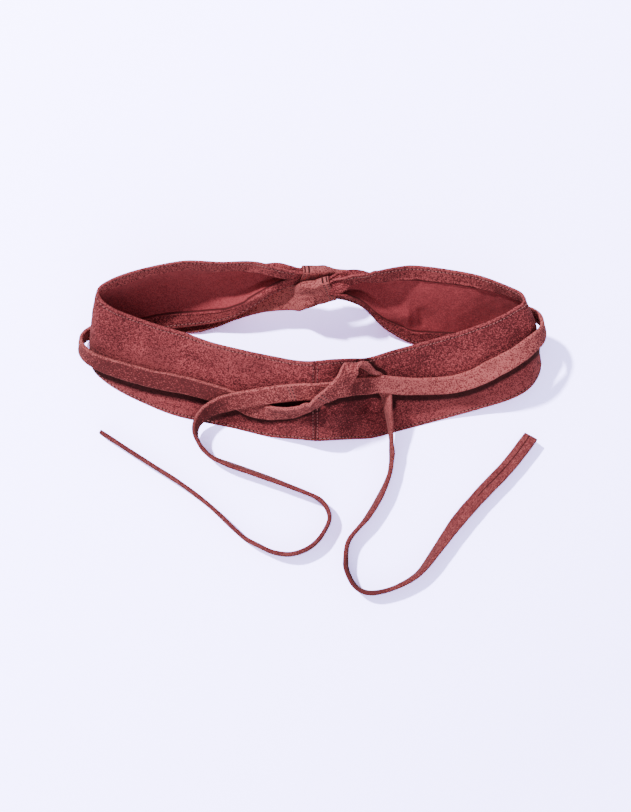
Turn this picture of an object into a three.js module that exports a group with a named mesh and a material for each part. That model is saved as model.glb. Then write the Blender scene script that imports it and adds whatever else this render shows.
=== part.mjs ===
// A wide suede belt whose two long ties cross at its back and are tied in a half knot at its front.
// Millimetres. +Z is up, +X is right and +Y points away from the photo's camera. The tables are
// measured from the floor point in the middle of the photo, and the last lines move the part so
// that the middle of its bounding box stands at the origin.
import * as THREE from "three";

const rad = THREE.MathUtils.degToRad;
const vec = (x, y, z) => new THREE.Vector3(x, y, z);

// Band: one layer of leather with a hem turned to the inside at both edges.
const WALL = 1.2; // one layer
const HEM_EXTRA = 1; // the turned-in layer
const HEM_STEP = 0.4; // the hem's raw edge slopes over this length
const SEAM_GAP = 0.3; // between the two halves at the front seam

// Panels across the band's width: hem, side, middle, side, hem. In the gathers the side panels fold
// back, so that the middle panel lies behind the two hems.
const FLAT = { hem: 14.3, side: 11.2, middle: 25 };
const GATHERED = { hem: 9.8, side: 9, middle: 18.9 };
const FOLD_LENGTH = 2.2; // leather taken by the bend of one fold
const FULL_FOLD = rad(176);
const FOLD_SUNK = 0.4; // share of the fold's depth that goes to the inside

// Ties: a flat strap, hollow at its cuff, where the gathered band end goes in.
const STRAP = { wide: 15.5, thick: 3.2, chamfer: 0.6 };
const CUFF = { wide: 23.5, thick: 8.2, wall: 1 };
const POCKET_ROOM = 3; // between the band end and the floor of its pocket
const JOINT_GAP = 0.3; // between a tie and its sewn-on end
const STATION_GAP = 7.8; // longest step between two sections of a strap
const FLATTENED = 0.7; // leather this near the floor lies flat on it

const layDown = (point) => {
  if (point.z < FLATTENED) point.z = 0;
  return point;
};

const columns = (names, rows) =>
  rows.map((row) => Object.fromEntries(names.split(" ").map((name, i) => [name, row[i]])));

const BAND_COLUMNS = "footX footY footZ topX topY topZ bow";
const RIGHT_HALF = columns(BAND_COLUMNS, [
  [0, -30, 14, 0, 25, 67, 1], // front seam
  [14, -30, 17, 13, 26, 67, 1],
  [29, -28, 9, 27, 28, 60, 0],
  [45, -26, 1, 41, 30, 52, -1], // dent under the knot
  [67, -20, 0, 60, 36, 51, 0],
  [101, -11, 1, 90, 44, 52, 1],
  [129, -4, 7, 116, 51, 57, 2],
  [156, 4, 15, 139, 59, 65, 2], // front corner, off the floor
  [170, 13, 15, 152, 66, 66, 2],
  [178, 26, 10, 160, 71, 67, 2],
  [177, 37, 5, 158, 78, 66, 2], // right end
  [164, 45, 1, 147, 84, 65, 2],
  [137, 48, 0, 126, 93, 61, 1],
  [107, 49, 0, 100, 99, 57, 0],
  [79, 50, 0, 75, 102, 56, 0],
  [58, 61, 7, 53, 99, 64, 0], // the gathers start
  [41, 76, 23, 38, 97, 65, 0],
  [29, 80, 34, 27, 95.5, 64, 0],
  [16, 80, 43, 14, 90.6, 60.7, 0], // mouth of the cuff
  [3, 77, 40.5, 2, 87.3, 58.3, 0],
]);
const LEFT_HALF = columns(BAND_COLUMNS, [
  [0, -30, 14, 0, 25, 67, 1],
  [-14, -28, 8, -13, 26, 61, 1],
  [-36, -25, 1, -33, 31, 53, 0],
  [-61, -19, 0, -56, 36, 52, 0],
  [-89, -13, 0, -80, 42, 52, 0],
  [-111, -8, 0, -101, 50, 49, 1],
  [-132, 0, 0, -122, 56, 50, 2],
  [-155, 11, 1, -142, 62, 55, 2],
  [-171, 22, 2, -156, 67, 61, 2],
  [-178, 32, 3, -165, 74, 65, 2],
  [-178, 43, 3, -166, 82, 67, 2], // left end
  [-169, 52, 2, -156, 89, 67, 2],
  [-152, 57, 3, -141, 95, 67, 2],
  [-132, 60, 6, -121, 100, 68, 4], // the other tie runs under the edge from here
  [-112, 62, 7, -98, 103, 69, 5],
  [-87, 66, 9, -73, 103, 69, 4],
  [-65, 71, 17, -52, 105, 68, 2], // the gathers start
  [-46, 80, 28, -39, 104, 68, 0],
  [-31, 87.5, 37, -27, 100.5, 66, 0],
  [-14, 92.2, 41.5, -13, 97.2, 61, 0], // mouth of the cuff
  [-1, 92.8, 38, -1, 97.8, 57.5, 0],
]);

// A smooth curve through a table's rows, at a place counted in rows.
function rowAt(table, place) {
  const last = table.length - 1;
  const from = THREE.MathUtils.clamp(Math.floor(place), 0, last - 1);
  const share = place - from;
  const row = {};
  for (const name of Object.keys(table[0])) {
    const [a, b, c, d] = [-1, 0, 1, 2].map(
      (step) => table[THREE.MathUtils.clamp(from + step, 0, last)][name],
    );
    row[name] =
      b +
      0.5 * share * (c - a + share * (2 * a - 5 * b + 4 * c - d + share * (3 * (b - c) + d - a)));
  }
  return row;
}

// The flat face of a half at a place: its foot, its slant direction and the direction out of it.
function faceAt(table, place, handed) {
  const step = 0.05;
  const row = rowAt(table, place);
  const before = rowAt(table, Math.max(place - step, 0));
  const after = rowAt(table, Math.min(place + step, table.length - 1));
  const foot = vec(row.footX, row.footY, row.footZ);
  const up = vec(row.topX, row.topY, row.topZ).sub(foot);
  const slant = up.length();
  up.normalize();
  const along = vec(
    after.footX + after.topX - before.footX - before.topX,
    after.footY + after.topY - before.footY - before.topY,
    after.footZ + after.topZ - before.footZ - before.topZ,
  ).multiplyScalar(handed);
  const out = along.cross(up).normalize();
  return { foot, up, out, slant, bow: row.bow };
}

const bowAt = (face, rise) => {
  const share = THREE.MathUtils.clamp(rise / face.slant, 0, 1);
  return face.bow * 4 * share * (1 - share);
};

// The band's section for a share of gathering from 0 to 1: points in the middle of the wall, with
// the way they run and how thick the wall is to the inside.
function sectionFor(share) {
  const size = (name) => FLAT[name] + share * (GATHERED[name] - FLAT[name]);
  const fold = share * FULL_FOLD;
  const half = FOLD_LENGTH / 2;
  const hemEnd = size("hem") - half - HEM_STEP;
  const side = size("side") - FOLD_LENGTH;
  const middle = (size("middle") - FOLD_LENGTH) / 2;
  const runs = [
    [hemEnd, 0, 0, true],
    [HEM_STEP, 0, 0],
    [half, 0, fold / 2],
    [half, fold / 2, fold],
    [side, fold, fold],
    [half, fold, fold / 2],
    [half, fold / 2, 0],
    [middle, 0, 0],
    [middle, 0, 0],
    [half, 0, -fold / 2],
    [half, -fold / 2, -fold],
    [side, -fold, -fold],
    [half, -fold, -fold / 2],
    [half, -fold / 2, 0],
    [HEM_STEP, 0, 0, true],
    [hemEnd, 0, 0, true],
  ];
  const points = [{ rise: 0, out: 0, way: 0, hem: true }];
  for (const [length, start, end, hem] of runs) {
    const from = points.at(-1);
    const turn = end - start;
    const ahead = turn ? (Math.sin(end) - Math.sin(start)) / turn : Math.cos(start);
    const aside = turn ? (Math.cos(start) - Math.cos(end)) / turn : Math.sin(start);
    points.push({
      rise: from.rise + length * ahead,
      out: from.out + length * aside,
      way: end,
      hem: Boolean(hem),
    });
  }
  const depth = Math.max(...points.map((point) => point.out));
  for (const point of points) point.out -= FOLD_SUNK * depth;
  return points;
}

// The section whose foot and top edge are as far apart as the table says.
function sectionOf(slant) {
  let [low, high] = [0, 1];
  for (let turn = 0; turn < 24; turn++) {
    const middle = (low + high) / 2;
    if (sectionFor(middle).at(-1).rise > slant) low = middle;
    else high = middle;
  }
  const points = sectionFor(low);
  const stretch = slant / points.at(-1).rise;
  for (const point of points) point.rise *= stretch;
  return points;
}

// Rings of the same number of points joined to one closed surface. Its ends are closed by caps,
// lists of triangles that name points of the first or last ring.
function lofted(name, colour, rings, cap) {
  const count = rings[0].length;
  const positions = rings.flat().flatMap((point) => point.toArray());
  const faces = [];
  for (let ring = 0; ring + 1 < rings.length; ring++)
    for (let i = 0; i < count; i++) {
      const [a, b] = [ring * count + i, ring * count + ((i + 1) % count)];
      faces.push(a, b, b + count, a, b + count, a + count);
    }
  const end = (rings.length - 1) * count;
  for (const [a, b, c] of cap) faces.push(c, b, a, end + a, end + b, end + c);
  const geometry = new THREE.BufferGeometry();
  geometry.setAttribute("position", new THREE.Float32BufferAttribute(positions, 3));
  geometry.setIndex(faces);
  const material = new THREE.MeshStandardMaterial({ color: colour, roughness: 0.9 });
  const mesh = new THREE.Mesh(geometry, material);
  mesh.name = name;
  return mesh;
}

// One half of the band. handed is 1 for the right half and -1 for the left one.
function bandHalf(name, colour, table, handed, gathersFrom) {
  const rings = [];
  const last = table.length - 1;
  for (let place = 0; place <= last + 1e-6; place += place < gathersFrom - 1e-6 ? 0.5 : 0.25) {
    const face = faceAt(table, place, handed);
    const outer = [];
    const inner = [];
    for (const point of sectionOf(face.slant)) {
      const sideways = (thickness) =>
        face.foot
          .clone()
          .addScaledVector(face.up, point.rise - Math.sin(point.way) * thickness)
          .addScaledVector(
            face.out,
            point.out + bowAt(face, point.rise) + Math.cos(point.way) * thickness,
          );
      outer.push(sideways(WALL / 2));
      inner.unshift(sideways(-WALL / 2 - (point.hem ? HEM_EXTRA : 0)));
    }
    const ring = [...outer, ...inner];
    if (place === 0) for (const point of ring) point.x = (handed * SEAM_GAP) / 2;
    for (const point of ring) layDown(point);
    rings.push(handed > 0 ? ring.reverse() : ring);
  }
  const count = rings[0].length;
  const cap = [];
  for (let i = 0; i < count / 2 - 1; i++) {
    const [a, b, c, d] = [i, i + 1, count - 2 - i, count - 1 - i];
    cap.push([a, b, c], [a, c, d]);
  }
  return lofted(name, colour, rings, cap);
}

// Straps. Rows on the band give a place in rows (right half above 0, left half below), the strap's
// height up the slant, its distance out of the face, and how far its width is rolled from the slant
// towards the left and leaned off the face. Free rows give a point and the direction of the width:
// turned from +X in plan, and tipped up from the floor.
const ON_BAND = "row rise out roll lean wide thick";
const FREE = "x y z turn tip wide thick";

function onBand(row) {
  const face = faceAt(row.row < 0 ? LEFT_HALF : RIGHT_HALF, Math.abs(row.row), Math.sign(row.row) || 1);
  const left = face.up.clone().cross(face.out).negate();
  const [roll, lean] = [rad(row.roll), rad(row.lean)];
  return {
    point: face.foot
      .clone()
      .addScaledVector(face.up, row.rise)
      .addScaledVector(face.out, row.out + bowAt(face, row.rise)),
    width: face.up
      .clone()
      .multiplyScalar(Math.cos(lean) * Math.cos(roll))
      .addScaledVector(left, Math.cos(lean) * Math.sin(roll))
      .addScaledVector(face.out, Math.sin(lean)),
    wide: row.wide,
    thick: row.thick,
  };
}

function free(row) {
  const [turn, tip] = [rad(row.turn), rad(row.tip)];
  return {
    point: vec(row.x, row.y, row.z),
    width: vec(Math.cos(tip) * Math.cos(turn), Math.cos(tip) * Math.sin(turn), Math.sin(tip)),
    wide: row.wide,
    thick: row.thick,
  };
}

// Rows with the strap's own size where the table leaves it out, two stations for each row on the band.
function stretch(names, rows) {
  const filled = columns(names, rows).map((row) => ({
    ...row,
    ...(names === ON_BAND && { roll: row.roll ?? 0, lean: row.lean ?? 0 }),
    wide: row.wide ?? STRAP.wide,
    thick: row.thick ?? STRAP.thick,
  }));
  if (names === FREE) return filled.map(free);
  const stations = [];
  for (let place = 0; place <= filled.length - 1; place += 0.5)
    stations.push(onBand(rowAt(filled, place)));
  return stations;
}

// Sections along a strap: a smooth curve through the stations, cut into short steps.
function sectionsAlong(stations) {
  const length = [0];
  for (let i = 1; i < stations.length; i++)
    length.push(length[i - 1] + stations[i].point.distanceTo(stations[i - 1].point));
  const slope = stations.map((_, i) => {
    const [a, b] = [Math.max(i - 1, 0), Math.min(i + 1, stations.length - 1)];
    return stations[b].point.clone().sub(stations[a].point).divideScalar(length[b] - length[a]);
  });
  const sections = [];
  for (let i = 0; i + 1 < stations.length; i++) {
    const [from, to, span] = [stations[i], stations[i + 1], length[i + 1] - length[i]];
    const steps = Math.ceil(span / STATION_GAP);
    for (let step = i ? 1 : 0; step <= steps; step++) {
      const t = step / steps;
      const [t2, t3] = [t * t, t * t * t];
      const point = from.point
        .clone()
        .multiplyScalar(2 * t3 - 3 * t2 + 1)
        .addScaledVector(slope[i], span * (t3 - 2 * t2 + t))
        .addScaledVector(to.point, 3 * t2 - 2 * t3)
        .addScaledVector(slope[i + 1], span * (t3 - t2));
      const along = from.point
        .clone()
        .multiplyScalar((6 * t2 - 6 * t) / span)
        .addScaledVector(slope[i], 3 * t2 - 4 * t + 1)
        .addScaledVector(to.point, (6 * t - 6 * t2) / span)
        .addScaledVector(slope[i + 1], 3 * t2 - 2 * t)
        .normalize();
      const width = from.width.clone().lerp(to.width, t);
      width.addScaledVector(along, -width.dot(along)).normalize();
      sections.push({
        at: length[i] + t * span,
        point,
        width,
        depth: along.clone().cross(width),
        wide: THREE.MathUtils.lerp(from.wide, to.wide, t),
        thick: THREE.MathUtils.lerp(from.thick, to.thick, t),
      });
    }
  }
  return sections;
}

// A strap's outline in one section, smaller by inset on every side.
function strapRing(section, inset = 0) {
  const [a, b] = [section.wide / 2 - inset, section.thick / 2 - inset];
  const c = STRAP.chamfer;
  const corners = [
    [a - c, -b],
    [a, c - b],
    [a, b - c],
    [a - c, b],
    [c - a, b],
    [-a, b - c],
    [-a, c - b],
    [c - a, -b],
  ];
  return corners.map(([across, through]) => {
    const point = section.point
      .clone()
      .addScaledVector(section.width, across)
      .addScaledVector(section.depth, through);
    return layDown(point);
  });
}

const STRAP_CAP = [1, 2, 3, 4, 5, 6].map((i) => [0, i, i + 1]);

// A tie as two meshes: the length with the cuff, and its sewn-on end.
function tie(name, colour, cuff, inner, end) {
  const stations = [...cuff, ...inner, ...end];
  const sections = sectionsAlong(stations);
  const reach = (count) =>
    stations
      .slice(0, count)
      .reduce((sum, s, i) => sum + (i ? s.point.distanceTo(stations[i - 1].point) : 0), 0);
  const pocketEnd = reach(cuff.length);
  const joint = reach(cuff.length + inner.length);
  const pocket = sections.filter((s) => s.at <= pocketEnd + 1e-6);
  const first = sections.filter((s) => s.at < joint - 1);
  const second = sections.filter((s) => s.at > joint - 1);
  const shifted = (section, by) => ({
    ...section,
    point: section.point.clone().addScaledVector(section.width.clone().cross(section.depth), by),
  });
  const seam = second[0];
  const firstRings = [
    strapRing(shifted(pocket.at(-1), POCKET_ROOM), CUFF.wall),
    ...pocket.map((s) => strapRing(s, CUFF.wall)).reverse(),
    ...first.map((s) => strapRing(s)),
    strapRing(shifted(seam, -JOINT_GAP)),
  ];
  return [
    lofted(name, colour, firstRings, STRAP_CAP),
    lofted(name + "_end", colour, second.map((s) => strapRing(s)), STRAP_CAP),
  ];
}

// Left tie: it leaves the left half's cuff to the right, runs outside the right half and round it,
// along the front over the other tie, falls off the front and lies on edge on the floor.
const leftTie = tie(
  "tie_left",
  0x9b5a5c,
  stretch(ON_BAND, [
    [-19.1, 10.3, -0.2, 0, 0, CUFF.wide, CUFF.thick],
    [-20, 10.3, -0.2, 0, 0, CUFF.wide, CUFF.thick],
  ]),
  [
    ...stretch(FREE, [
      [5, 95.8, 46.2, 90, 75, CUFF.wide, CUFF.thick],
      [14, 96, 43.8, 90, 72, 18, 4.8],
    ]),
    ...stretch(ON_BAND, [
      [17, 14, 10.5],
      [16, 17, 11],
      [15, 24, 8],
      [14, 27, 5],
      [13, 30, 4],
      [12, 34, 4],
      [11, 38.5, 4.6],
      [10.4, 41.5, 5.4],
      [9.8, 42, 6.4],
      [9.2, 42, 6.4],
      [8.44, 43.5, 6.8, 0, -6],
      [7.72, 43.6, 7.6, 0, -10],
      [7.18, 42.6, 8, 0, -12],
      [6.6, 39.8, 7.8, 0, -12],
      [6.1, 36.2, 6.6, 0, -8],
      [5.4, 34.7, 5, 0, -4],
      [4.7, 40, 6.2],
      [4.1, 47.5, 8.2],
      [3.4, 55.4, 10],
      [2.7, 55.8, 9.2],
      [2, 54, 6.4],
      [1, 50.6, 3.8],
      [0, 51, 3.6],
      [-0.8, 50.6, 4.6],
      [-1.3, 49, 5.6],
    ]),
  ],
  [
    ...stretch(ON_BAND, [
      [-1.6, 47.5, 6.2],
      [-2.1, 44, 7.2],
      [-2.7, 38, 8],
      [-3, 34.3, 8.4],
    ]),
    ...stretch(FREE, [
      [-73, -2, 23, 97, 48],
      [-83, -6, 20, 115, 58],
      [-90, -12, 17, 145, 68],
      [-93.5, -18, 15, 165, 80],
      [-94, -24, 13, 180, 86],
      [-92, -30, 11, 180, 90],
      [-88, -36, 9, 0, 90],
      [-81, -42, 8, 0, 90],
      [-68, -47.5, 7.75, 0, 90],
      [-41, -57, 7.75, 0, 90],
      [-7, -70, 7.75, 0, 90],
      [3, -75, 7.75, 0, 90],
      [9, -82, 7.75, 0, 90],
      [11, -90, 7.75, 0, 90],
      [8, -98, 7.75, 0, 90],
      [2, -107, 7.75, 0, 90],
      [-7, -114, 7.75, 0, 90],
      [-19.5, -118, 7.75, 0, 90],
      [-32.5, -116.5, 7.75, 0, 90],
      [-44, -111.5, 7.75, 0, 90],
      [-56.5, -104.5, 7.75, 0, 90],
      [-83, -80, 7.75, 0, 90],
      [-106, -62.5, 7.75, 0, 90],
      [-135, -44, 7.75, 0, 90],
      [-169, -22, 7.75, 0, 90],
    ]),
  ],
);

// Right tie: it leaves the right half's cuff to the left, dips under the left half's lower edge,
// runs round it and along the front, behind the other tie, up over it and down behind it again.
const rightTie = tie(
  "tie_right",
  0x8f4f52,
  stretch(ON_BAND, [
    [18.15, 10.3, -0.2, 0, 0, CUFF.wide, CUFF.thick],
    [19, 10.3, -0.2, 0, 0, CUFF.wide, CUFF.thick],
  ]),
  [
    ...stretch(FREE, [
      [-3.3, 81.3, 48.5, 90, 58, CUFF.wide, CUFF.thick],
      [-12, 79, 39.1, 90, 44, 18.6, 4.2],
      [-21, 80.9, 29, 90, 36, 19.8, 3.4],
      [-31, 80.1, 26.5, 90, 30, 17.4],
      [-46, 78.5, 21, 90, 20],
      [-62, 75.5, 13, 90, 12],
      [-80, 70, 6, 90, 5],
      [-96, 66.5, 2.4, 90, 0],
      [-112, 66.8, 1.8, 90, 2],
      [-124, 68.5, 3.4, 90, 13],
      [-138, 70, 7.5, 90, 33],
    ]),
    ...stretch(ON_BAND, [
      [-11.6, 9.5, 4.8],
      [-11, 9, 5.8],
      [-10.4, 9.5, 7],
      [-9.8, 13, 7.6],
      [-9.2, 17.5, 7.2],
      [-8.46, 21.5, 6.6],
      [-7.38, 26.4, 6.2, 0, -4],
      [-6.7, 29, 6, 0, -6],
      [-6, 31.1, 5.8, 0, -6],
      [-4.75, 34.4, 5.2, 0, -5],
      [-3.8, 33.1, 4.2, 0, -2],
      [-3.4, 31, 3],
      [-3, 28.8, 3],
      [-2.6, 26, 3.4],
      [-2.2, 26.5, 4.2, 0, 6],
      [-1.8, 28, 5.4, 0, 20],
      [-1.3, 30.5, 6.4, 0, 28],
      [-0.9, 34.3, 7.6, 2, 36],
      [-0.4, 38.5, 8.8, 8, 44],
      [0.1, 43.6, 10.6, 14, 48],
    ]),
  ],
  [
    ...stretch(ON_BAND, [
      [0.5, 48.2, 11.8, 26, 36],
      [0.85, 52.8, 11.4, 42, 16],
      [1.1, 58, 10.8, 56, 5],
      [1.31, 63, 10.4, 66, 0],
      [1.5, 68.4, 10, 74, -8],
      [1.68, 72.6, 9.6, 92, -26, 14],
      [1.9, 75, 9.2, 125, -48, 12.5],
      [2.2, 76, 8.8, 165, -52, 12.5],
      [2.5, 74, 8.4, 180, -46, 13],
      [2.85, 69.5, 8, 180, -46, 13],
      [3.18, 62.5, 5.1, 161, -28, 12],
      [3.4, 55, 3.5, 128, -4, 12],
      [3.54, 46.5, 3.4, 128, -4, 12],
      [3.6, 38.5, 4.8, 138, -14, 13],
      [3.6, 29, 7.6, 155, -28, 14.5],
      [3.62, 18, 10, 175, -40],
    ]),
    ...stretch(FREE, [
      [59.5, -30, 13, 90, -70],
      [60, -38, 10, 180, -84],
      [59.5, -47, 8.6, 180, -88],
      [58, -55.5, 8, 180, -88],
      [50.5, -73, 7.6, 200, -74],
      [40, -90, 7.6, 200, -74],
      [26, -107.5, 7.7, 180, -86],
      [23.5, -125, 7.75, 180, -90],
      [25.5, -133.5, 7.75, 180, -90],
      [30.5, -142.5, 7.75, 180, -90],
      [37, -147, 7.75, 180, -90],
      [46, -148, 7.75, 180, -90],
      [63, -143.5, 7.75, 130, -88],
      [80.5, -133, 7.7, 135, -80],
      [95, -114.5, 7.6, 138, -68],
      [111.5, -92, 7.4, 140, -58],
      [130.5, -70.5, 7.2, 141, -54],
      [152, -48, 7.2, 141, -54],
      [170, -25, 7.4, 142, -57],
    ]),
  ],
);

const part = new THREE.Group();
part.add(
  bandHalf("band_left", 0x8a4347, LEFT_HALF, -1, 15),
  bandHalf("band_right", 0x7f3b40, RIGHT_HALF, 1, 14),
  ...leftTie,
  ...rightTie,
);
const box = new THREE.Box3().setFromObject(part);
part.position.set(-(box.min.x + box.max.x) / 2, -(box.min.y + box.max.y) / 2, 0);
part.updateMatrixWorld(true);

export default part;
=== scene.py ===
"""A suede belt with a wide band and two long ties, lying on a pale studio floor.

The tables are in millimetres, measured from the floor point in the middle of the picture. They are
the CAD source's. A few rows at the back crossing, at the knot and on the floor are added, moved or
turned a little, where the photo shows more than its sections can. PLACE moves them into the frame
of the part.
"""

from math import cos, pi, radians, sin

import bpy
import numpy as np
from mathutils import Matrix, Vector


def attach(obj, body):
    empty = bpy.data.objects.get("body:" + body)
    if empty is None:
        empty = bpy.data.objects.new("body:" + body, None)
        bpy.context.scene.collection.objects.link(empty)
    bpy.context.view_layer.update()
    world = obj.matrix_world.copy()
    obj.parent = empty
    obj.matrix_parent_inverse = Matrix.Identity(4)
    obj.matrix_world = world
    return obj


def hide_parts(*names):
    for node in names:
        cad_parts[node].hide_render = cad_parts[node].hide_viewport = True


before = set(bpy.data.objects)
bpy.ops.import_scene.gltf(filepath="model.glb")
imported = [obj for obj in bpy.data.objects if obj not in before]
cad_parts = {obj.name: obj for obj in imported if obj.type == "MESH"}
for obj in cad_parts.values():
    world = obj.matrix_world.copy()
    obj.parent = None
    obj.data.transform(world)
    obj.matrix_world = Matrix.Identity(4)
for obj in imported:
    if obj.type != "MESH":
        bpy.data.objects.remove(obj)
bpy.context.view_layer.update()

# Studio: a pale lilac sweep, one crisp light from the upper left, a wide soft one from the front and
# even light all round. The camera looks almost straight down on the belt, from a metre and a half.
MM = 0.001
PLACE = np.array([4.098, 23.019, 0.0])
CAMERA_ELEVATION = radians(82)
CAMERA_DISTANCE = 1521
CAMERA_LENS = 85
CAMERA_SENSOR = 36
SUN_WAY = np.array([-0.585, 0.45, 1.0])
SUN_SIZE = radians(3.5)
SUN_STRENGTH = 4.0
FRONT_WAY = np.array([0.25, -1.0, 0.75])
FRONT_SIZE = radians(75)
FRONT_STRENGTH = 0.9
ROOM_LIGHT = (0.86, 0.90, 1.0)
ROOM_STRENGTH = 0.46
FLOOR_COLOUR = (0.86, 0.85, 0.93, 1)
FLOOR_SEEN = (4.0, 3.6, 7.0, 1)
FALL_OFF_WAY = (-0.75, 0.65, 0)
FALL_OFF_SPAN = (-0.3, 0.4)
FALL_OFF = (0.84, 1.28)
FLOOR_REACH = 3.0


def placed(points):
    """Points of the tables, in millimetres, as points of the part's frame, in metres."""
    return (np.asarray(points, float) + PLACE) * MM


def look_along(thing, way):
    """Turns a light or camera so that it looks along a direction: its -Z goes that way, Y stays up."""
    thing.rotation_euler = Vector(way).to_track_quat("-Z", "Y").to_euler()


back = np.array([0, -cos(CAMERA_ELEVATION), sin(CAMERA_ELEVATION)])
camera = bpy.data.objects.new("camera", bpy.data.cameras.new("camera"))
camera.data.lens = CAMERA_LENS
camera.data.sensor_width = CAMERA_SENSOR
camera.location = placed(back * CAMERA_DISTANCE)
look_along(camera, -back)
bpy.context.collection.objects.link(camera)
bpy.context.scene.camera = camera

for name, way, size, strength in (
    ("sun", SUN_WAY, SUN_SIZE, SUN_STRENGTH),
    ("front light", FRONT_WAY, FRONT_SIZE, FRONT_STRENGTH),
):
    light = bpy.data.objects.new(name, bpy.data.lights.new(name, "SUN"))
    light.data.energy = strength
    light.data.angle = size
    look_along(light, -way)
    bpy.context.collection.objects.link(light)

room = bpy.data.worlds.new("room")
room.use_nodes = True
room.node_tree.nodes["Background"].inputs["Color"].default_value = (*ROOM_LIGHT, 1)
room.node_tree.nodes["Background"].inputs["Strength"].default_value = ROOM_STRENGTH
bpy.context.scene.world = room

floor_mesh = bpy.data.meshes.new("floor")
corners = [(x * FLOOR_REACH, y * FLOOR_REACH, 0) for x, y in ((-1, -1), (1, -1), (1, 1), (-1, 1))]
floor_mesh.from_pydata(corners, [], [(0, 1, 2, 3)])
floor = bpy.data.objects.new("floor", floor_mesh)
bpy.context.collection.objects.link(floor)


class Value:
    """A shader socket, so that arithmetic on it adds Math nodes."""

    def __init__(self, nodes, socket):
        self.nodes, self.socket = nodes, socket

    def other(self, output):
        """Another output of the same node."""
        return Value(self.nodes, self.socket.node.outputs[output])

    def maths(self, operation, *others):
        """A Math node on this socket and other sockets or numbers."""
        return self.nodes.node("ShaderNodeMath", (self, *others), operation=operation)

    def __add__(self, other):
        return self.maths("ADD", other)

    def __sub__(self, other):
        return self.maths("SUBTRACT", other)

    def __rsub__(self, other):
        return self.maths("MULTIPLY", -1.0) + other

    def __mul__(self, other):
        return self.maths("MULTIPLY", other)

    def __truediv__(self, other):
        return self.maths("DIVIDE", other)

    __radd__, __rmul__ = __add__, __mul__

    def between(self, low, high, start=0.0, end=1.0):
        """Smooth step from start at low to end at high."""
        ends = (self, low, high, start, end)
        return self.nodes.node("ShaderNodeMapRange", ends, interpolation_type="SMOOTHSTEP")


class Finish:
    """A material's nodes round its Principled shader."""

    def __init__(self, name, **fixed):
        self.material = bpy.data.materials.new(name)
        self.material.use_nodes = True
        self.tree = self.material.node_tree
        self.shader = self.tree.nodes["Principled BSDF"]
        for key, value in fixed.items():
            self.shader.inputs[key.replace("_", " ")].default_value = value

    def node(self, kind, values=(), output=0, **settings):
        """A node with its settings, and its sockets' values or links by order or by name."""
        made = self.tree.nodes.new(kind)
        for key, value in settings.items():
            setattr(made, key, value)
        pairs = values.items() if isinstance(values, dict) else enumerate(values)
        for key, value in pairs:
            if isinstance(value, Value):
                self.tree.links.new(value.socket, made.inputs[key])
            else:
                made.inputs[key].default_value = value
        return Value(self, made.outputs[output])

    def noise(self, where, scale, detail=2.0, roughness=0.5):
        """Noise with so many waves to the metre."""
        values = {"Vector": where, "Scale": scale, "Detail": detail, "Roughness": roughness}
        return self.node("ShaderNodeTexNoise", values)

    def mix(self, share, first, second):
        """The first colour where the share is 0 and the second where it is 1."""
        values = {0: share, 6: first, 7: second}
        return self.node("ShaderNodeMix", values, output=2, data_type="RGBA")

    def colour(self, colour, **others):
        """The material, its shader fed with a colour and with other values by the socket's name."""
        self.tree.links.new(colour.socket, self.shader.inputs["Base Color"])
        for key, value in others.items():
            self.tree.links.new(value.socket, self.shader.inputs[key])
        return self.material


# The camera sees the paper over-exposed, as on the photo, while it lights the belt as plain paper.
# What the camera sees falls off from the upper left to the lower right of the picture.
paper = Finish("paper")
paper_lights = paper.node("ShaderNodeBsdfDiffuse", {"Color": FLOOR_COLOUR})
spot = paper.node("ShaderNodeTexCoord", output="Object")
far = paper.node("ShaderNodeVectorMath", (spot, FALL_OFF_WAY), output="Value", operation="DOT_PRODUCT")
bright = paper.node("ShaderNodeMapRange", (far, *FALL_OFF_SPAN, *FALL_OFF))
shown = paper.node("ShaderNodeVectorMath", {0: FLOOR_SEEN[:3], "Scale": bright}, operation="SCALE")
paper_seen = paper.node("ShaderNodeBsdfDiffuse", {"Color": shown})
seen = paper.node("ShaderNodeLightPath", output="Is Camera Ray")
look = paper.node("ShaderNodeMixShader", (seen, paper_lights, paper_seen))
paper.tree.nodes.remove(paper.shader)
paper.tree.links.new(look.socket, paper.tree.nodes["Material Output"].inputs["Surface"])
floor_mesh.materials.append(paper.material)


# Band: two lengths of soft split suede, sewn together at the front. Both long edges are turned to
# the inside as hems, and the back end of each half is gathered into folds for its cuff.
WALL = 1.2
HEM_EXTRA = 1.0
SEAM_GAP = 0.02
SEAM_ROW = 1.6
STITCH_PITCH = 3.0
BAND_WIDTH = 76.0
FLAT = {"hem": 14.3, "side": 11.2, "middle": 25.0}
GATHERED = {"hem": 9.8, "side": 9.0, "middle": 18.9}
FOLD_LENGTH = 2.2
FULL_FOLD = radians(176)
FOLD_SUNK = 0.4
FLATTENED = 0.7
FLATTENED_TO = 0.3
RAW_EDGE = 12.9
RAW_EDGE_LIFT = 0.7
# Where the painted shadow line under the hem's raw edge lies, and its colour.
RAW_EDGE_SHADOW_AT = RAW_EDGE + 0.7
RAW_EDGE_SHADOW_DARK = (0.05, 0.010, 0.012, 1)
HEM_SHOWS = ((11.2, 12.2), (13.2, 15))
HEM_SHOWS_DEEP = 0.12
GROOVE_AT = 3.0
GROOVE_DEEP = 0.22
GROOVE_WIDE = 0.55
CRUMPLED = 0.25
ROW_STEP = 1.5
SECTION_POINTS = 1521
ACROSS_POINTS = 112

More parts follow.
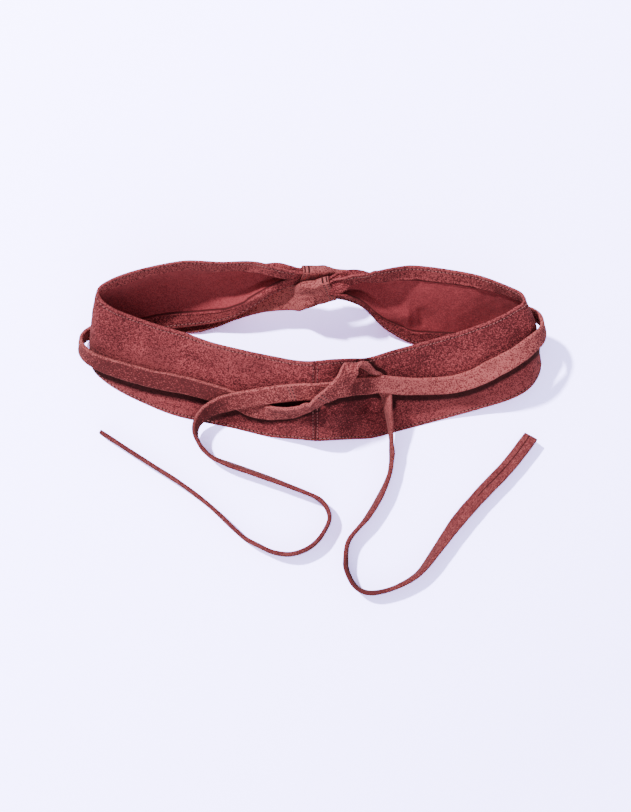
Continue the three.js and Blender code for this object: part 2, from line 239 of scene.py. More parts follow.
# Columns: foot x y z, top x y z, bow.
RIGHT_HALF = np.array([
    (0, -30, 14, 0, 25, 67, 1),
    (14, -30, 17, 13, 26, 67, 1),
    (29, -28, 9, 27, 28, 60, 0),
    (45, -26, 1, 41, 30, 52, -1),
    (67, -20, 0, 60, 36, 51, 0),
    (101, -11, 1, 90, 44, 52, 1),
    (129, -4, 7, 116, 51, 57, 2),
    (156, 4, 15, 139, 59, 65, 2),
    (170, 13, 15, 152, 66, 66, 2),
    (178, 26, 10, 160, 71, 67, 2),
    (177, 37, 5, 158, 78, 66, 2),
    (164, 45, 1, 147, 84, 65, 2),
    (137, 48, 0, 126, 93, 61, 1),
    (107, 49, 0, 100, 99, 57, 0),
    (79, 50, 0, 75, 102, 56, 0),
    (58, 61, 7, 53, 99, 64, 0),
    (41, 76, 23, 38, 97, 65, 0),
    (29, 80, 34, 27, 95.5, 64, 0),
    (16, 80, 43, 14, 90.6, 60.7, 0),
    (3, 77, 40.5, 2, 87.3, 58.3, 0),
], float)
LEFT_HALF = np.array([
    (0, -30, 14, 0, 25, 67, 1),
    (-14, -28, 8, -13, 26, 61, 1),
    (-36, -25, 1, -33, 31, 53, 0),
    (-61, -19, 0, -56, 36, 52, 0),
    (-89, -13, 0, -80, 42, 52, 0),
    (-111, -8, 0, -101, 50, 49, 1),
    (-132, 0, 0, -122, 56, 50, 2),
    (-155, 11, 1, -142, 62, 55, 2),
    (-171, 22, 2, -156, 67, 61, 2),
    (-178, 32, 3, -165, 74, 65, 2),
    (-178, 43, 3, -166, 82, 67, 2),
    (-169, 52, 2, -156, 89, 67, 2),
    (-152, 57, 3, -141, 95, 67, 2),
    (-132, 60, 6, -121, 100, 68, 4),
    (-112, 62, 7, -98, 103, 69, 5),
    (-87, 66, 9, -73, 103, 69, 4),
    (-65, 71, 17, -52, 105, 68, 2),
    (-46, 80, 28, -39, 104, 68, 0),
    (-31, 87.5, 37, -27, 100.5, 66, 0),
    (-14, 92.2, 41.5, -13, 97.2, 61, 0),
    (-1, 92.8, 38, -1, 97.8, 57.5, 0),
], float)

# Dents and swellings: half, place in rows, height up the slant, size along, size up, depth outwards.
DENTS = [
    (1, 3.0, 31, 9, 9, -3.0),
    (1, 1.0, 25, 7, 9, 1.6),
    (1, 2.5, 24, 8, 2, 1.0),
    (1, 5.0, 16, 26, 5, -0.8),
    (1, 7.4, 22, 9, 16, -1.2),
    (1, 13.6, 26, 8, 11, 2.2),
    (1, 14.2, 30, 2.5, 12, -1.2),
    (1, 14.8, 58, 20, 3, 1.4),
    (-1, 1.6, 16, 16, 6, 1.0),
    (-1, 4.4, 54, 30, 5, -0.9),
    (-1, 7.0, 48, 10, 14, -1.1),
    (-1, 9.6, 34, 6, 20, -1.3),
    (-1, 13.2, 36, 42, 20, 6.5),
    (-1, 13.4, 38, 24, 9, 0.8),
    (-1, 15.2, 52, 18, 5, 1.8),
]

# Long folds near the cuffs: half, place and height of one end and of the other, size, depth outwards.
CREASES = [
    (1, 17.8, 10, 14.45, 26, 7.5, -4.8),
    (1, 13.8, 34, 13.75, 20, 2.4, 1.0),
    (1, 18.4, 16.6, 16.4, 26, 1.5, 2.2),
    (1, 18.4, 13.8, 14.6, 55, 1.8, 1.6),
    (1, 18.4, 4.0, 16.9, 3, 1.4, 2.2),
    (1, 16.6, 8, 14.4, 13, 3.0, 1.2),
    (-1, 19.2, 9.5, 17.5, 17, 1.6, 2.2),
    (-1, 18.2, 9, 16.5, 13, 1.5, 1.8),
    (-1, 17.4, 20, 15.4, 34, 5, 2.4),
]


def rows_at(table, places):
    """Catmull-Rom through a table's rows, at places counted in rows.

    The value is b + s/2 (c - a + s (2a - 5b + 4c - d + s (3(b - c) + d - a))) for the four rows
    a, b, c, d round the place and the share s of the way from b to c.
    """
    places = np.asarray(places, float)
    last = len(table) - 1
    start = np.clip(np.floor(places).astype(int), 0, last - 1)
    s = (places - start)[:, None]
    a, b, c, d = (table[np.clip(start + step, 0, last)] for step in (-1, 0, 1, 2))
    return b + 0.5 * s * (c - a + s * (2 * a - 5 * b + 4 * c - d + s * (3 * (b - c) + d - a)))


def unit(v):
    """Each vector divided by its length."""
    return v / np.linalg.norm(v, axis=-1, keepdims=True)


def faces_at(table, places, handed):
    """A half's flat face at each place: foot, slant direction, direction out of it, slant, bow.

    The way out is the cross product of the way along the band and the slant.
    """
    step = 0.05
    row = rows_at(table, places)
    before = rows_at(table, np.maximum(places - step, 0))
    after = rows_at(table, np.minimum(places + step, len(table) - 1))
    foot = row[:, :3]
    up = row[:, 3:6] - foot
    slant = np.linalg.norm(up, axis=1)
    up = up / slant[:, None]
    change = after - before
    along = (change[:, :3] + change[:, 3:6]) * handed
    return foot, up, unit(np.cross(along, up)), slant, row[:, 6]


def smooth(low, high, value):
    """0 below low, 1 above high, and 3t^2 - 2t^3 between."""
    t = np.clip((value - low) / (high - low), 0, 1)
    return t * t * (3 - 2 * t)


def panel(name, share):
    """The width of one part of the section, in mm, for a share of gathering."""
    return FLAT[name] + share * (GATHERED[name] - FLAT[name])


def picked(values, low, part):
    """Row by row, the value at the column low, blended with the next one's by the share part."""
    return np.take_along_axis(values, low, 1) * (1 - part) + np.take_along_axis(values, low + 1, 1) * part


def folded(share, s_share):
    """The band's section for shares of gathering (N) at shares of its width (N or 1, M).

    The way that the wall runs turns by the fold's angle at the four folds, each over FOLD_LENGTH,
    and height and depth are the running sums of its cosine and sine.
    """
    fine = np.linspace(0, 1, SECTION_POINTS)
    hem, side, middle = (panel(name, share)[:, None] for name in ("hem", "side", "middle"))
    total = 2 * hem + 2 * side + middle
    s = fine * total
    turned = sum(
        sign * np.clip((s - at) / FOLD_LENGTH + 0.5, 0, 1)
        for sign, at in ((1, hem), (-1, hem + side), (-1, hem + side + middle), (1, total - hem))
    )
    way = turned * share[:, None] * FULL_FOLD
    ds = total / (len(fine) - 1)
    rise = np.cumsum(np.cos(way), axis=1) * ds
    out = np.cumsum(np.sin(way), axis=1) * ds
    rise, out = rise - rise[:, :1], out - out[:, :1]
    out = out - FOLD_SUNK * out.max(axis=1, keepdims=True)
    index = s_share * (len(fine) - 1)
    low = np.clip(np.floor(index).astype(int), 0, len(fine) - 2)
    part = index - low
    return picked(rise, low, part), picked(out, low, part), picked(way, low, part), total


def gathering_for(slant):
    """The share of gathering whose section is as high as the slant, by halving."""
    low, high = np.zeros_like(slant), np.ones_like(slant)
    ends = np.ones((len(slant), 1))
    for _ in range(18):
        middle = (low + high) / 2
        too_high = folded(middle, ends)[0][:, 0] > slant
        low, high = np.where(too_high, middle, low), np.where(too_high, high, middle)
    return low


def add_map(mesh, name, places):
    """A UV map that gives each point of the mesh one pair of values."""
    corner = np.empty(len(mesh.loops), np.int32)
    mesh.loops.foreach_get("vertex_index", corner)
    layer = mesh.uv_layers.new(name=name)
    layer.data.foreach_set("uv", np.asarray(places, np.float32)[corner].ravel())


def made_mesh(name, points, faces, uv=None):
    """A smooth mesh object in the part's frame, from points in millimetres."""
    mesh = bpy.data.meshes.new(name)
    mesh.from_pydata(placed(points).tolist(), [], faces)
    if uv is not None:
        add_map(mesh, "flat", uv)
    mesh.polygons.foreach_set("use_smooth", [True] * len(mesh.polygons))
    made = bpy.data.objects.new(name, mesh)
    bpy.context.collection.objects.link(made)
    return made


def tube_faces(rings, count):
    """Quads between rings of count points."""
    ring, i = np.meshgrid(np.arange(rings - 1), np.arange(count), indexing="ij")
    a, b = ring * count + i, ring * count + (i + 1) % count
    return np.stack([a, b, b + count, a + count], -1).reshape(-1, 4)


def place_steps(table, step, finest=0.01):
    """Places along a half whose middle line is cut into equal lengths."""
    places = np.arange(0, len(table) - 1 + finest / 2, finest)
    row = rows_at(table, places)
    middle = (row[:, :3] + row[:, 3:6]) / 2
    length = np.concatenate([[0], np.cumsum(np.linalg.norm(np.diff(middle, axis=0), axis=1))])
    even = np.linspace(0, length[-1], int(length[-1] / step) + 1)
    return np.interp(even, length, places), even


def pressed(points):
    """Points low above the floor brought still lower, to a share of their height: suede lies flat."""
    z = points[..., 2]
    points[..., 2] = np.where(z < FLATTENED, np.maximum(z, 0) * FLATTENED_TO, z)
    return points


def unevenness(u, v):
    """Slow waves of soft leather: a sum of sines along (u) and across (v) the band, in mm."""
    return (
        0.30 * np.sin(u / 11 + 1.3) * np.sin(v / 13 + 0.4)
        + 0.22 * np.sin(u / 5.3 + 0.09 * v + 2.1)
        + 0.16 * np.sin(u / 3.1 - 0.21 * v) * np.sin(v / 6 + u / 37)
        + 0.10 * np.sin(u / 1.9 + 0.35 * v + 0.7) * np.sin(v / 4.3 - u / 21)
    )


class Half:
    """One half of the band: points on it for a place along and a distance from the foot edge."""

    def __init__(self, table, handed):
        self.table, self.handed = table, handed
        self.places, self.lengths = place_steps(table, ROW_STEP)

    def to_line(self, ends, along, rise):
        """Distance on the face from the line between two spots, each a place and a height."""
        x0, x1 = np.interp([ends[0], ends[2]], self.places, self.lengths)
        y0, y1 = ends[1], ends[3]
        share = ((along - x0) * (x1 - x0) + (rise - y0) * (y1 - y0)) / ((x1 - x0) ** 2 + (y1 - y0) ** 2)
        share = np.clip(share, 0, 1)
        return np.hypot(along - x0 - share * (x1 - x0), rise - y0 - share * (y1 - y0))

    def surface(self, places, s, offset, lengths):
        """Middle of the section at s plus offset along its normal, s and offset being (N, M).

        Each dent adds depth * exp(-x^2 - y^2), each crease depth * exp(-(distance / size)^2), and
        the wall's bow 4 h (1 - h) times its own depth at the share h of the height.
        """
        foot, up, out, slant, bow = faces_at(self.table, places, self.handed)
        share = gathering_for(slant)
        total = sum(k * panel(name, share) for k, name in ((2, "hem"), (2, "side"), (1, "middle")))
        s = s * total[:, None] / BAND_WIDTH
        rise, depth, way, _ = folded(share, s / total[:, None])
        full = folded(share, np.ones((len(share), 1)))[0]
        rise = rise * slant[:, None] / full
        height = np.clip(rise / slant[:, None], 0, 1)
        depth = depth + bow[:, None] * 4 * height * (1 - height)
        for half, place, dent_rise, long, tall, deep in DENTS:
            if half == self.handed:
                at = np.interp(place, self.places, self.lengths)
                across = (lengths[:, None] - at) / long
                depth = depth + deep * np.exp(-(across**2) - ((rise - dent_rise) / tall) ** 2)
        for half, *ends, size, deep in CREASES:
            if half == self.handed:
                away = self.to_line(ends, lengths[:, None], rise)
                depth = depth + deep * np.exp(-((away / size) ** 2))
        calm = 1 - 0.7 * share[:, None]
        edges = smooth(0, 9, s) * smooth(0, 9, total[:, None] - s)
        depth = depth + unevenness(lengths[:, None] + 90 * (self.handed + 1), s) * calm * edges
        crumple = CRUMPLED * share * smooth(0.2, 0.9, share)
        depth = depth + crumple[:, None] * np.sin(s * 1.9 + lengths[:, None] * 0.07)
        for edge in (s, total[:, None] - s):
            shows = smooth(*HEM_SHOWS[0], edge) * (1 - smooth(*HEM_SHOWS[1], edge))
            depth = depth - HEM_SHOWS_DEEP * shows
        point = (
            foot[:, None, :]
            + up[:, None, :] * (rise - np.sin(way) * offset)[..., None]
            + out[:, None, :] * (depth + np.cos(way) * offset)[..., None]
        )
        return pressed(point)

    def points(self, lengths, s, offset):
        """The surface at lengths along the band."""
        return self.surface(np.interp(lengths, self.lengths, self.places), s, offset, lengths)

    def ring(self):
        """Distance from the foot edge and offset from the wall's middle, once round the section.

        Outer face up, half a turn round the top edge, inner face down, half a turn round the foot.
        """
        radius = (WALL + HEM_EXTRA) / 2
        centre = WALL / 2 - radius
        up_face = np.linspace(radius, BAND_WIDTH - radius, ACROSS_POINTS)
        turn = np.linspace(0, pi, 8)[1:-1]
        s = np.concatenate([
            up_face,
            BAND_WIDTH - radius + radius * np.sin(turn),
            up_face[::-1],
            radius - radius * np.sin(turn),
        ])
        offset = np.concatenate([
            np.full(ACROSS_POINTS, WALL / 2),
            centre + radius * np.cos(turn),
            np.full(ACROSS_POINTS, -WALL / 2),
            centre - radius * np.cos(turn),
        ])
        inner = np.zeros(len(s), bool)
        inner[ACROSS_POINTS + len(turn) : 2 * ACROSS_POINTS + len(turn)] = True
        return s, offset, inner

    def build(self, name):
        """The half as one closed mesh: the ring at every place, and a cap of quads at each end.

        The hem is thicker inwards up to its raw edge, which lifts a little. A shallow groove runs
        where each row of stitches pulls the suede in.
        """
        s, offset, inner = self.ring()
        rows = len(self.places)
        s = np.repeat(s[None], rows, 0)
        offset = np.repeat(offset[None], rows, 0)
        along = self.lengths[:, None]
        edge = np.minimum(s, BAND_WIDTH - s)
        raw = RAW_EDGE + 0.35 * np.sin(along / 7 + 1) + 0.2 * np.sin(along / 2.3)
        hem = 1 - smooth(raw - 0.35, raw + 0.35, edge)
        lift = RAW_EDGE_LIFT * np.exp(-(((edge - raw + 0.7) / 0.9) ** 2)) * (0.6 + 0.4 * np.sin(along / 9))
        self.inner = np.tile(inner, rows)
        self.flesh = np.where(inner[None], 1 - hem, 0).ravel()
        stitched = GROOVE_DEEP * np.exp(-(((edge - GROOVE_AT) / GROOVE_WIDE) ** 2))
        offset = np.where(inner[None], offset - hem * (HEM_EXTRA + lift) + stitched, offset - stitched)
        seam = 1 - smooth(0, 1.6, along)
        offset = offset * (1 - 0.3 * seam)
        seam_rows = 0.2 * np.exp(-(((along - SEAM_ROW) / 0.5) ** 2))
        offset = np.where(inner[None], offset, offset - seam_rows)
        points = self.surface(self.places, s, offset, self.lengths)
        points[0, :, 0] = self.handed * SEAM_GAP / 2 + 0.5 * offset[0]
        count = points.shape[1]
        faces = tube_faces(rows, count).tolist()
        turns = (count - 2 * ACROSS_POINTS) // 2
        for first, flip in ((0, False), ((rows - 1) * count, True)):
            caps = []
            for i in range(ACROSS_POINTS - 1):
                j = 2 * ACROSS_POINTS + turns - 1 - i
                caps.append([i, j, j - 1, i + 1])
            top = list(range(ACROSS_POINTS - 1, ACROSS_POINTS + turns + 1))
            foot = list(range(2 * ACROSS_POINTS + turns - 1, count)) + [0]
            caps += [top, foot]
            faces += [[first + k for k in (cap[::-1] if flip else cap)] for cap in caps]
        if self.handed > 0:
            faces = [face[::-1] for face in faces]
        uv = np.stack([np.broadcast_to(along, s.shape), s], -1).reshape(-1, 2)
        return made_mesh(name, points.reshape(-1, 3), faces, uv)


def suede(name, deep, mid, pale, edges, painted_spots, patch_scale=26):
    """Napped suede: three tones mixed by nap noise at several sizes, painted light and painted shade round
    some points, and paler and darker lines by the flat map at folds and stitches, with wear, painted
    highlights and painted shade among them, and a fine pile in the bump."""
    finish = Finish(name, Roughness=0.92, Sheen_Weight=0.10, Sheen_Roughness=0.45)
    finish.shader.inputs["Sheen Tint"].default_value = SHEEN_TINT
    finish.shader.inputs["Specular IOR Level"].default_value = 0.12
    where = finish.node("ShaderNodeTexCoord", output="Object")
    flat = finish.node("ShaderNodeUVMap", uv_map="flat")
    parts = finish.node("ShaderNodeSeparateXYZ", (flat,))
    u, v = parts, parts.other("Y")
    pile = finish.noise(where, 1050, 1, 0.6)
    nap = finish.noise(where, 340, 3, 0.6)
    cloud = finish.noise(where, 85, 3, 0.55)
    patch = finish.noise(where, patch_scale, 3, 0.5)
    tone = pile * 0.66 + nap * 0.20 + cloud * 0.08 + patch * 0.06
    # Painted light and painted shade round given points.
    for x, y, z, core, reach, shift in painted_spots:
        away = finish.node("ShaderNodeVectorMath", (where, (x, y, z)), output=1, operation="DISTANCE")
        tone = tone + away.between(core, reach, shift, 0.0)
    base = finish.mix(tone.between(0.43, 0.505), (*deep, 1), (*mid, 1))
    base = finish.mix(tone.between(0.505, 0.575), base, (*pale, 1))
    brushed = patch.between(0.52, 0.66)
    base = finish.mix(brushed * 0.30, base, (*deep, 1))
    base = edges(finish, base, u, v, pile, pale)
    pile_height = {"Strength": 0.55, "Distance": 0.00045, "Height": pile * 0.6 + nap * 0.4}
    bump = finish.node("ShaderNodeBump", pile_height)
    rough = pile.between(0.3, 0.7, 0.86, 0.98)
    return finish.colour(base, Roughness=rough, Normal=bump)


def stitch_holes(count, reach):
    """1 at the holes between two stitches and 0 at their middles, from a value that counts stitches."""
    return (count.maths("FRACT") - 0.5).maths("ABSOLUTE").between(*reach)


def band_edges(finish, base, u, v, pile, pale):
    """The smoother, redder flesh side inside, fold edges paler from wear and from a painted highlight,
    a dark sewn groove 3 mm in and beside the seam, a painted shadow under the hem's raw edge, and
    painted shade along the lower edges of the ties, where they shade the band."""
    near = finish.node("ShaderNodeSeparateXYZ", (finish.node("ShaderNodeUVMap", uv_map="near"),))
    flesh = near.other("Y")
    base = finish.mix(flesh * 0.62, base, (*BAND_FLESH, 1))
    edge = v.maths("MINIMUM", BAND_WIDTH - v)
    # Fold edges paler: wear, and a painted highlight where they catch the light.
    wear_and_highlight = edge.between(0.3, 2.0, 1.0, 0.0)
    base = finish.mix(wear_and_highlight * pile.between(0.35, 0.6) * 0.7, base, (*pale, 1))
    groove = (edge - GROOVE_AT).maths("ABSOLUTE").between(0.35, 0.85, 1.0, 0.0)
    hole = stitch_holes((u + 0.5) / STITCH_PITCH, BAND_HOLE)
    base = finish.mix(groove * (hole * 0.78 + 0.12), base, HOLE_DARK)
    # Painted shadow under the hem's raw edge, on the flesh side.
    raw = (edge - RAW_EDGE_SHADOW_AT).maths("ABSOLUTE").between(0.3, 1.1, 1.0, 0.0)
    base = finish.mix(raw * flesh.between(0.02, 0.3) * 0.85, base, RAW_EDGE_SHADOW_DARK)
    seam = u.between(0.3, 1.0, 1.0, 0.0)
    base = finish.mix(seam * 0.10, base, SEAM_DARK)
    row = (u - SEAM_ROW).maths("ABSOLUTE").between(0.35, 0.75, 1.0, 0.0)
    hole = stitch_holes(v / STITCH_PITCH, BAND_HOLE)
    base = finish.mix(row * (hole * 0.65 + 0.05), base, HOLE_DARK)
    # Painted shade along the lower edges of the ties, where they shade the band.
    return finish.mix(near.between(0.3, 2.6, 0.88, 0.0), base, PAINTED_SHADE_DARK)


BAND_DEEP = (0.095, 0.014, 0.019)
BAND_MID = (0.235, 0.036, 0.043)
BAND_PALE = (0.440, 0.089, 0.097)
BAND_FLESH = (0.400, 0.058, 0.072)
SHEEN_TINT = (0.95, 0.50, 0.50, 1)
HOLE_DARK = (0.02, 0.004, 0.006, 1)
SEAM_DARK = (0.03, 0.006, 0.008, 1)
PAINTED_SHADE_DARK = (0.020, 0.0036, 0.005, 1)
BAND_HOLE = (0.26, 0.38)

# Painted light (above 0) and painted shade round some points: a point and two radii in metres, the smaller
# for the core and the larger for the last trace, and how far the tone moves.
BAND_PAINTED_LIGHT = [
    # Painted shade on the upper front at both ends, where the nap looks dark to the camera, and a touch of
    # painted light between them.
    (-0.120, 0.066, 0.040, 0.015, 0.070, -0.046),
    (0.116, 0.062, 0.047, 0.020, 0.075, -0.048),
    (-0.040, 0.045, 0.043, 0.010, 0.055, 0.010),
    # Painted light on the lower front at both ends and on the inner back walls.
    (-0.135, 0.031, 0.007, 0.025, 0.060, 0.060),
    (0.134, 0.028, 0.008, 0.025, 0.070, 0.070),
    (-0.095, 0.111, 0.035, 0.045, 0.095, 0.050),
    (0.107, 0.102, 0.034, 0.030, 0.075, 0.030),
    # Painted shade below the knot.
    (0.036, 0.015, 0.030, 0.010, 0.028, -0.060),
    (0.004, 0.012, 0.033, 0.005, 0.014, -0.090),
]
band_suede = suede("band_suede", BAND_DEEP, BAND_MID, BAND_PALE, band_edges, BAND_PAINTED_LIGHT)

left_half = Half(LEFT_HALF, -1)
right_half = Half(RIGHT_HALF, 1)
band_left = left_half.build("band_left_suede")
band_right = right_half.build("band_right_suede")
for band, node in ((band_left, "band_left"), (band_right, "band_right")):
    band.data.materials.append(band_suede)
    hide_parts(node)
    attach(band, "root")


# Ties: long strips folded so that both raw edges meet in a slit down the back, turned on edge
# where they lie. Their wide ends are cuffs, sewn round the gathered ends of the band.
STRAP_WIDE = 15.5
STRAP_THICK = 3.2
CUFF_WIDE = 23.5
CUFF_THICK = 8.2
CUFF_WALL = 1.0
POCKET_ROOM = 3.0
JOINT_GAP = 0.03
SEWN_ROWS = (1.5, 4.5)
SLIT_DEEP = 0.55
SLIT_WIDE = 0.55
SLIT_FADE = 12
SLIT_DARK = (0.04, 0.008, 0.010, 1)
TIE_HOLE = (0.18, 0.34)

# The flat map of a tie counts lengths from the cuff's mouth, and from JOINT_FROM on past the joint.
# Across, SMOOTH_FACE is added on the faces without a slit. HANGS are lengths past the joint.
JOINT_FROM = 1000
SMOOTH_FACE = 30
HANGS = (60, 120)
WHOLE_TIE = 1000
STRAP_STEP = 1.3
FACE_POINTS = 17
EDGE_POINTS = 6

# Rows on the band: place in rows, height up the slant, distance out of the face, roll, lean,
# width and thickness. Free rows: x y z, turn and tip of the width, width and thickness.
LEFT_TIE_CUFF = [
    (-19.1, 10.3, -0.2, 0, 0, CUFF_WIDE, CUFF_THICK),
    (-20, 10.3, -0.2, 0, 0, CUFF_WIDE, CUFF_THICK),
]
LEFT_TIE_TAPER = [
    (5, 95.8, 46.2, 90, 75, CUFF_WIDE, CUFF_THICK),
    (14, 96, 43.8, 90, 72, 18, 4.8),
]
LEFT_TIE_ROUND = [
    (17, 14, 10.5),
    (16, 17, 11),
    (15, 24, 8),
    (14, 27, 5),
    (13, 30, 4),
    (12, 34, 4),
    (11, 38.5, 4.6),
    (10.4, 41.5, 5.4),
    (9.8, 42, 6.4),
    (9.2, 42, 6.4),
    (8.44, 43.5, 6.8, 0, -6),
    (7.72, 43.6, 7.6, 0, -10),
    (7.18, 42.6, 8, 0, -12),
    (6.6, 39.8, 7.8, 0, -12),
    (6.1, 36.2, 6.6, 0, -8),
    (5.4, 34.7, 5, 0, -4),
    (4.7, 40, 6.2),
    (4.1, 47.5, 8.2),
    (3.4, 55.4, 10),
    (2.7, 55.8, 9.2),
    (2, 54, 6.4),
    (1, 50.6, 3.8),
    (0, 51, 3.6),
    (-0.8, 50.6, 4.6),
    (-1.3, 49, 5.6),
]
LEFT_TIE_LOWER = [
    (-1.6, 47.5, 6.2),
    (-2.1, 44, 7.2),
    (-2.7, 38, 8),
    (-3, 34.3, 8.4),
]
LEFT_TIE_FREE = [
    (-73, -2, 23, 97, 48),
    (-83, -6, 20, 115, 58),
    (-90, -12, 17, 145, 68),
    (-93.5, -18, 15, 165, 80),
    (-94, -24, 13, 180, 86),
    (-92, -30, 11, 180, 90),
    (-88, -36, 9, 0, 90),
    (-81, -42, 8, 250, 84),
    (-68, -47.5, 7.75, 250, 77),
    (-41, -57, 7.75, 250, 78),
    (-7, -70, 7.75, 250, 84),
    (3, -75, 7.75, 0, 90),
    (9, -82, 7.75, 0, 90),
    (11, -90, 7.75, 0, 90),
    (8, -98, 7.75, 0, 90),
    (2, -107, 7.75, 0, 90),
    (-7, -114, 7.75, 0, 90),
    (-19.5, -118, 7.75, 0, 90),
    (-32.5, -116.5, 7.75, 0, 90),
    (-44, -111.5, 7.75, 0, 90),
    (-56.5, -104.5, 7.75, 0, 90),
    (-83, -80, 7.75, 0, 90),
    (-106, -62.5, 7.75, 0, 90),
    (-135, -44, 7.75, 0, 90),
    (-169, -22, 7.75, 0, 90),
]
RIGHT_TIE_CUFF = [
    (18.15, 10.3, -0.2, 0, 0, CUFF_WIDE, CUFF_THICK),
    (19, 10.3, -0.2, 0, 0, CUFF_WIDE, CUFF_THICK),
]
RIGHT_TIE_BACK = [
    (-3.3, 81.3, 48.5, 90, 58, CUFF_WIDE, CUFF_THICK),
    (-12, 80.1, 39.7, 90, 44, 21.2, 4.2),
    (-15.6, 80.8, 34.6, 90, 41, 23, 3.4),
    (-21, 80.9, 29, 90, 36, 19.8, 3.4),
    (-31, 80.1, 26.5, 90, 30, 17.4),
    (-46, 78.5, 21, 90, 20),
    (-62, 75.5, 13, 90, 12),
    (-80, 70, 6, 90, 5),
    (-96, 66.5, 2.4, 90, 0),
    (-112, 66.8, 1.8, 90, 2),
    (-124, 68.5, 3.4, 90, 13),
    (-138, 70, 7.5, 90, 33),
]
RIGHT_TIE_ROUND = [
    (-11.6, 9.5, 4.8),
    (-11, 9, 5.8),
    (-10.4, 9.5, 7),
    (-9.8, 13, 7.6),
    (-9.2, 17.5, 7.2),
    (-8.46, 21.5, 6.6),
    (-7.38, 26.4, 6.2, 0, -4),
    (-6.7, 29, 6, 0, -6),
    (-6, 31.1, 5.8, 0, -6),
    (-4.75, 34.4, 5.2, 0, -5),
    (-3.8, 33.1, 4.2, 0, -2),
    (-3.4, 31, 3),
    (-3, 28.8, 3),
    (-2.6, 26, 3.4),
    (-2.2, 26.5, 4.2, 0, 6),
    (-1.8, 28, 5.4, 0, 20),
    (-1.3, 30.5, 6.4, 0, 28),
    (-0.9, 34.3, 7.6, 2, 36),
    (-0.4, 38.5, 8.8, 8, 44),
    (0.1, 43.6, 10.6, 14, 48),
]
RIGHT_TIE_KNOT = [
    (0.5, 48.2, 11.8, 26, 36),
    (0.85, 52.8, 11.4, 42, 16),
    (1.1, 58, 10.8, 56, 5),
    (1.31, 63, 10.4, 66, 0),
    (1.5, 68.4, 10, 74, -8),
    (1.68, 72.6, 9.6, 92, -26, 14),
    (1.9, 75, 9.2, 125, -48, 12.5),
    (2.2, 76, 8.8, 165, -52, 12.5),
    (2.5, 74, 8.4, 180, -49, 11.5),
    (2.85, 69.5, 8, 180, -54, 10.5),
    (3.18, 62.5, 5.1, 168, -40, 10.5),
    (3.4, 55, 3.7, 134, -10, 11),
    (3.54, 46.5, 4.8, 142, -22, 11.5),
    (3.6, 38.5, 6.6, 158, -36, 12),
    (3.6, 29, 8.6, 169, -45, 13.5),
    (3.62, 18, 10.2, 178, -46),
]
RIGHT_TIE_FREE = [
    (59.5, -30, 13, 90, -70),
    (60, -38, 10, 180, -84),
    (59.5, -47, 8.6, 180, -88),
    (58, -55.5, 8, 180, -88),
    (50.5, -73, 7.6, 200, -74),
    (40, -90, 7.6, 200, -74),
    (26, -107.5, 7.7, -25, -88),
    (23.5, -125, 7.75, 0, -83),
    (25.5, -133.5, 7.75, 22, -83),
    (30.5, -142.5, 7.75, 40, -83),
    (37, -147, 7.75, 70, -83),
    (46, -148, 7.75, 97, -84),
    (63, -143.5, 7.75, 113, -86),
    (80.5, -133, 7.7, 135, -80),
    (95, -114.5, 7.6, 138, -68),
    (111.5, -92, 7, 140, -52),
    (130.5, -70.5, 6.6, 141, -47),
    (152, -48, 6.5, 141, -46),
    (170, -25, 6.7, 142, -48),
]


def filled(rows, middle):
    """Rows with the strap's own size, and the middle columns, where the table leaves them out."""
    whole = []
    for row in rows:
        row = list(row) + [0] * (5 - len(row)) if middle else list(row)
        row += [STRAP_WIDE, STRAP_THICK][len(row) - 5 :]
        whole.append(row)
    return np.array(whole, float)


def on_band(rows):
    """Stations, point width wide thick, for rows on the band and one between each two of them."""
    table = filled(rows, True)
    stations = []
    for row in rows_at(table, np.arange(0, len(table) - 0.75, 0.5)):
        place, rise, away, roll, lean, wide, thick = row
        half, handed = (LEFT_HALF, -1) if place < 0 else (RIGHT_HALF, 1)
        foot, up, out, slant, bow = (a[0] for a in faces_at(half, np.array([abs(place)]), handed))
        left = -np.cross(up, out)
        height = min(max(rise / slant, 0), 1)
        away += bow * 4 * height * (1 - height)
        roll, lean = radians(roll), radians(lean)
        width = cos(lean) * (cos(roll) * up + sin(roll) * left) + sin(lean) * out
        stations.append(np.array([*(foot + rise * up + away * out), *width, wide, thick]))
    return stations


def free(rows):
    """Stations for free rows: the width is turned in plan and tipped up from the floor."""
    stations = []
    for x, y, z, turn, tip, wide, thick in filled(rows, False):
        turn, tip = radians(turn), radians(tip)
        width = (cos(tip) * cos(turn), cos(tip) * sin(turn), sin(tip))
        stations.append(np.array([x, y, z, *width, wide, thick]))
    return stations


